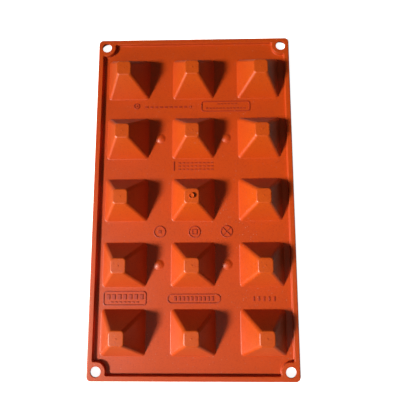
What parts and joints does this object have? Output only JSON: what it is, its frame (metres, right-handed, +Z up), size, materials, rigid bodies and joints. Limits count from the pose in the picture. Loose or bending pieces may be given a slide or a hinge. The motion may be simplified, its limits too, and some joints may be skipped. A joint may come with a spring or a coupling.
{
  "type": "resin casting mould",
  "caption": "Flexible silicone casting mould: a flat rimmed sheet of truncated-pyramid cavities with a hanging hole in each corner, lying on its open face.",
  "frame": {"origin": "middle of the open face, which the mould lies on at z = 0", "axes": "+Z up, out of the closed tips of the cups; +Y along the long side, towards the back; +X to the right across the short side"},
  "size_m": [0.175, 0.3, 0.0258],
  "materials": {
    "silicone": "satin"
  },
  "bodies": {
    "root": {"deck_sheet": "silicone", "rim_left": "silicone", "rim_right": "silicone", "rim_front": "silicone", "rim_back": "silicone", "corner_eyelet_front_left": "silicone", "corner_eyelet_front_right": "silicone", "corner_eyelet_back_left": "silicone", "corner_eyelet_back_right": "silicone", "cavity_cup_1_1": "silicone", "cavity_cup_1_2": "silicone", "cavity_cup_1_3": "silicone", "cavity_cup_2_1": "silicone", "cavity_cup_2_2": "silicone", "cavity_cup_2_3": "silicone", "cavity_cup_3_1": "silicone", "cavity_cup_3_2": "silicone", "cavity_cup_3_3": "silicone", "cavity_cup_4_1": "silicone", "cavity_cup_4_2": "silicone", "cavity_cup_4_3": "silicone", "cavity_cup_5_1": "silicone", "cavity_cup_5_2": "silicone", "cavity_cup_5_3": "silicone"}
  },
  "joints": []
}
